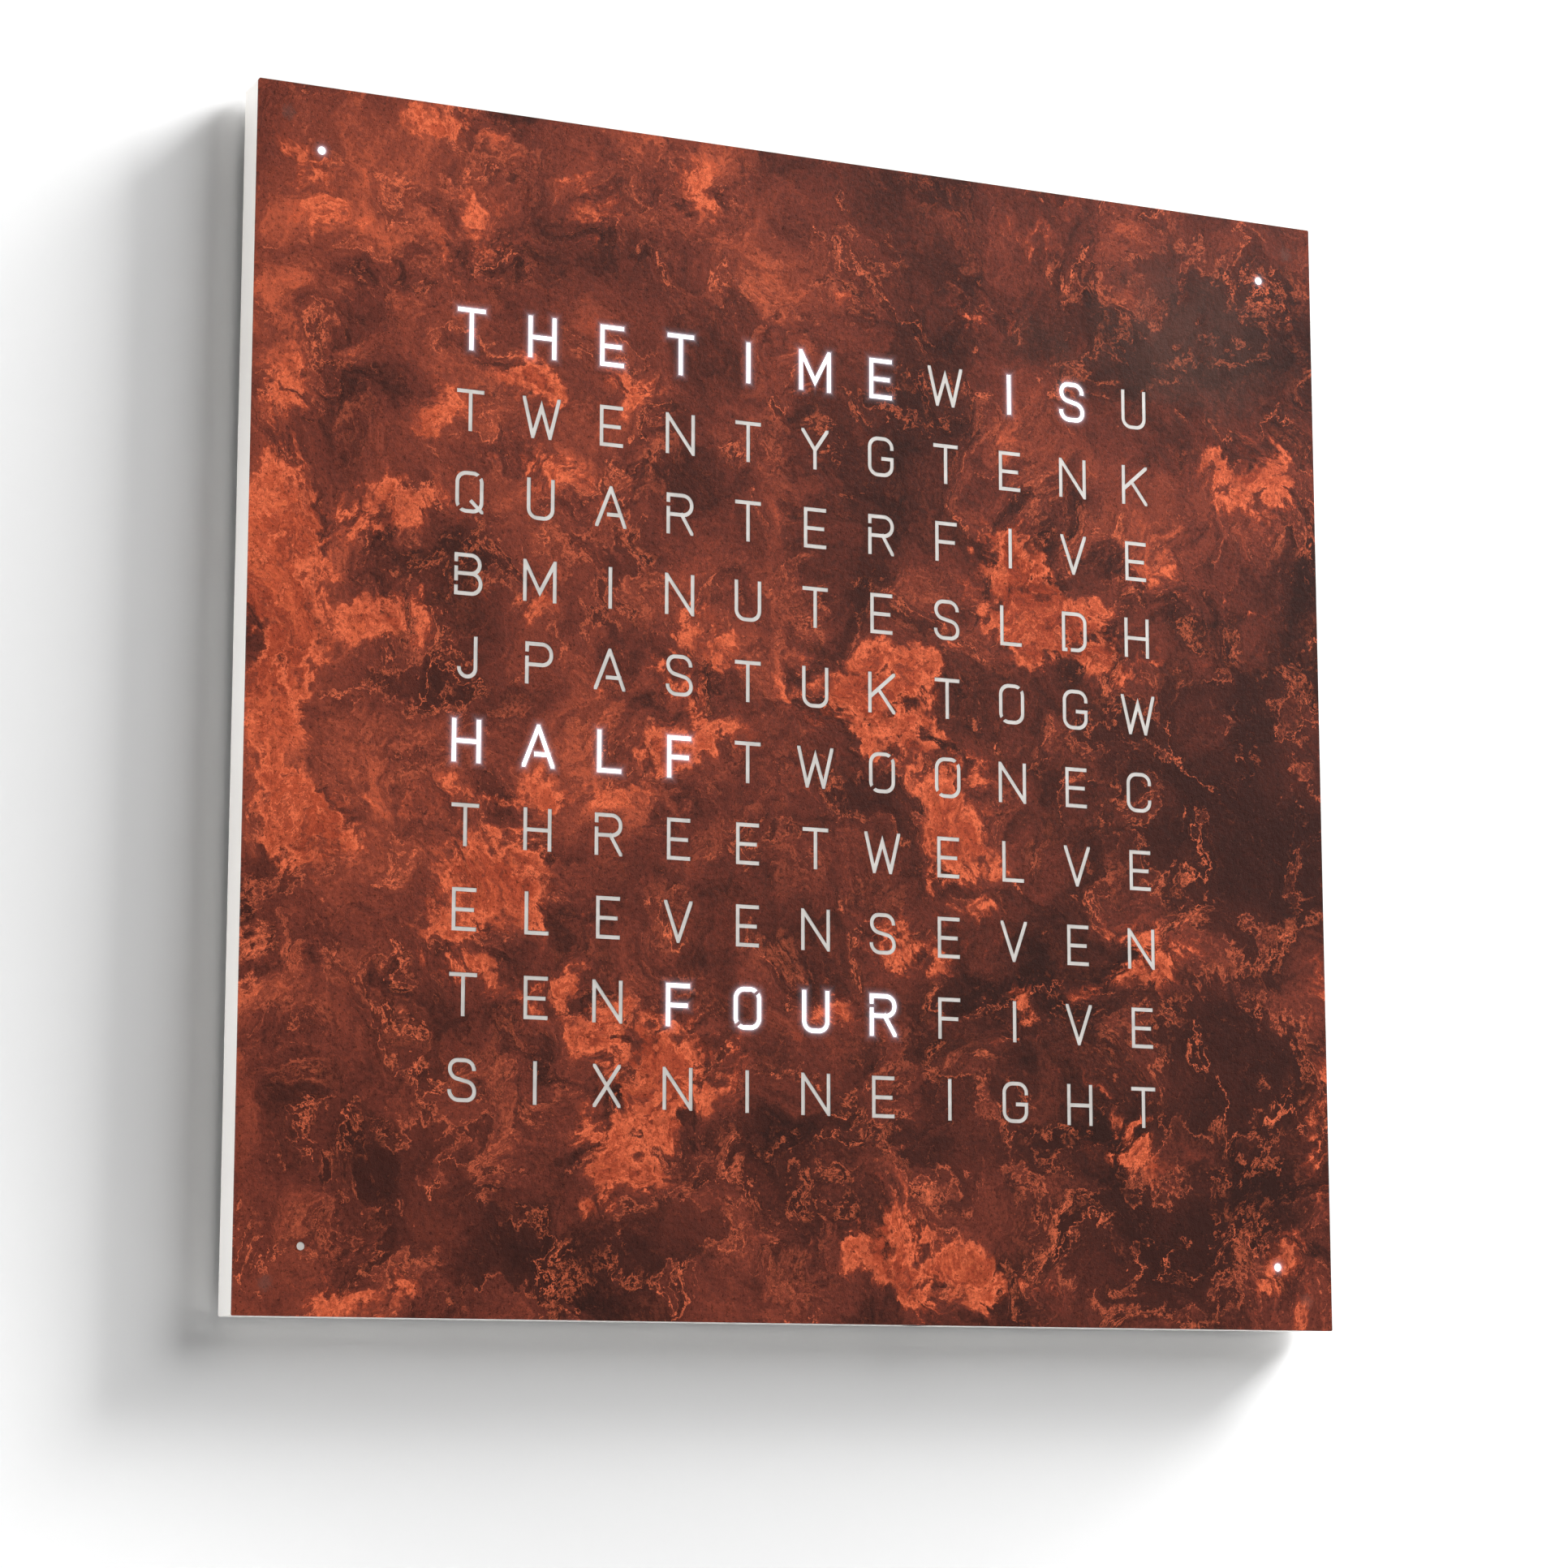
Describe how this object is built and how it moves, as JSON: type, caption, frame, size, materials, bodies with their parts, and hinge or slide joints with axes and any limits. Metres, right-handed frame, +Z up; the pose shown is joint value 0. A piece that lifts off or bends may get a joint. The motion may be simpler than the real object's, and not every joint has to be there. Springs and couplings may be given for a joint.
{
  "type": "word clock",
  "caption": "Square wall clock that spells the time in lit letters cut through a rust-patinated steel plate, on a shallow white case hooked to a wall bracket.",
  "frame": {"origin": "on the wall plane, at the centre of the wall bracket's two screw holes", "axes": "+X to the viewer's right, +Y into the wall, +Z up; the face looks along -Y"},
  "size_m": [0.45, 0.02, 0.45],
  "materials": {
    "patina_steel": "rust patina, waxed matt",
    "white_lacquer": "satin white lacquer over fibre board",
    "opal_resin": "opal resin, unlit, light grey",
    "lit_resin": "opal resin, lit from behind",
    "opal_sheet": "opal sheet, matt",
    "weld_stud": "plain steel",
    "magnet": "nickel plated",
    "black_plastic": "black, matt",
    "circuit_board": "green solder mask",
    "led_white": "white light source with a pale yellow window",
    "zinc_screw": "bright zinc",
    "chip_black": "moulded black",
    "metal_can": "satin metal can",
    "cell_steel": "bright steel",
    "lead_insulation": "grey insulation",
    "flex_white": "white flat cable",
    "button_white": "white, satin",
    "clear_pipe": "clear moulded",
    "contact_brass": "bright",
    "galvanised": "galvanised sheet",
    "spacer_rubber": "black"
  },
  "bodies": {
    "bracket": {"wall_bracket": "galvanised"},
    "case": {"hanger_plate": "galvanised", "hanger_screws": "zinc_screw", "case_body": "white_lacquer", "ring_magnets": "magnet", "light_grid": "black_plastic", "matrix_board": "circuit_board", "grid_screws": "zinc_screw", "matrix_leds": "led_white", "corner_leds": "led_white", "corner_boards": "circuit_board", "corner_light_cups": "black_plastic", "corner_leads": "lead_insulation", "lead_sockets": "black_plastic", "controller_board": "circuit_board", "controller_screws": "zinc_screw", "microcontroller": "chip_black", "clock_crystal": "metal_can", "led_drivers": "chip_black", "voltage_regulator": "chip_black", "reservoir_capacitor": "metal_can", "cell_holder": "black_plastic", "coin_cell": "cell_steel", "tact_switches": "metal_can", "light_pipe": "clear_pipe", "light_sensor": "chip_black", "dc_inlet": "black_plastic", "inlet_pin": "contact_brass", "flex_sockets": "black_plastic", "flex_cable": "flex_white", "wall_spacers": "spacer_rubber"},
    "cover": {"front_cover": "patina_steel", "letter_inlays": "opal_resin", "lit_letter_inlays": "lit_resin", "cover_studs": "weld_stud", "diffuser_sheet": "opal_sheet"},
    "hour_set": {"hour_button": "button_white", "hour_plunger": "chip_black"},
    "minute_set": {"minute_button": "button_white", "minute_plunger": "chip_black"},
    "light_set": {"light_button": "button_white", "light_plunger": "chip_black"}
  },
  "joints": [
    {"name": "case_lift", "type": "slide", "parent": "bracket", "child": "case", "axis": [0, 0, 1], "range_m": [0, 0.01]},
    {"name": "cover_pull", "type": "slide", "parent": "case", "child": "cover", "axis": [0, -1, 0], "range_m": [0, 0.06]},
    {"name": "hour_press", "type": "slide", "parent": "case", "child": "hour_set", "axis": [0, 0, 1], "range_m": [0, 0.001], "stiffness_N_per_m": 900, "springref_m": -0.0008},
    {"name": "minute_press", "type": "slide", "parent": "case", "child": "minute_set", "axis": [0, 0, 1], "range_m": [0, 0.001], "stiffness_N_per_m": 900, "springref_m": -0.0008},
    {"name": "light_press", "type": "slide", "parent": "case", "child": "light_set", "axis": [0, 0, 1], "range_m": [0, 0.001], "stiffness_N_per_m": 900, "springref_m": -0.0008}
  ]
}
